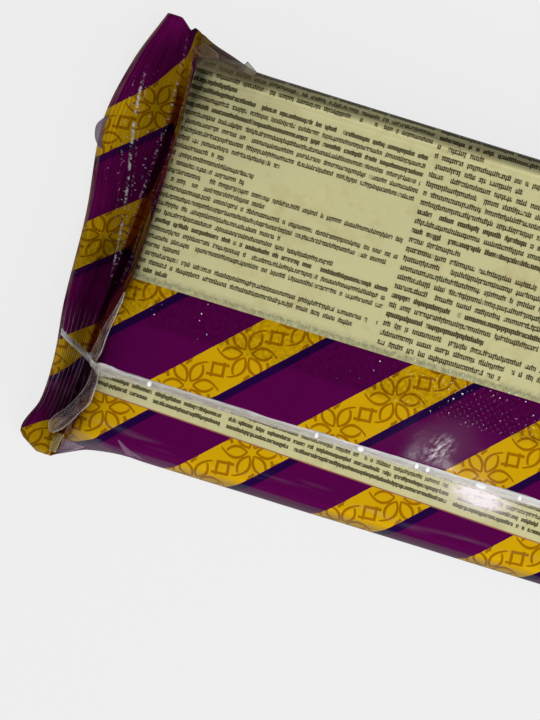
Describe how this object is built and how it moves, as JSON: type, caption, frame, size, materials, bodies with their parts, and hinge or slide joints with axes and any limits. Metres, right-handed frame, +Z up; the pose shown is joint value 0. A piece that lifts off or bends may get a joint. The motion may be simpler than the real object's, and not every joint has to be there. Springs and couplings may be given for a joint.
{
  "type": "flow-wrapped halva pack",
  "caption": "Shut flow pack of pressed halva: a slab in glossy printed film with a folded back seam and a crimped flat seal at each end.",
  "frame": {"origin": "middle of the pack's footprint, on the surface that it lies on", "axes": "+X along the pack's length, +Y across it away from the flap's free edge, +Z up out of the seam face"},
  "size_m": [0.1551, 0.1022, 0.0211],
  "materials": {
    "printed_film": "glossy printed film, purple with yellow diagonal bands and a cream panel, creased at the ends"
  },
  "bodies": {
    "root": {"wrapped_pack": "printed_film"}
  },
  "joints": []
}
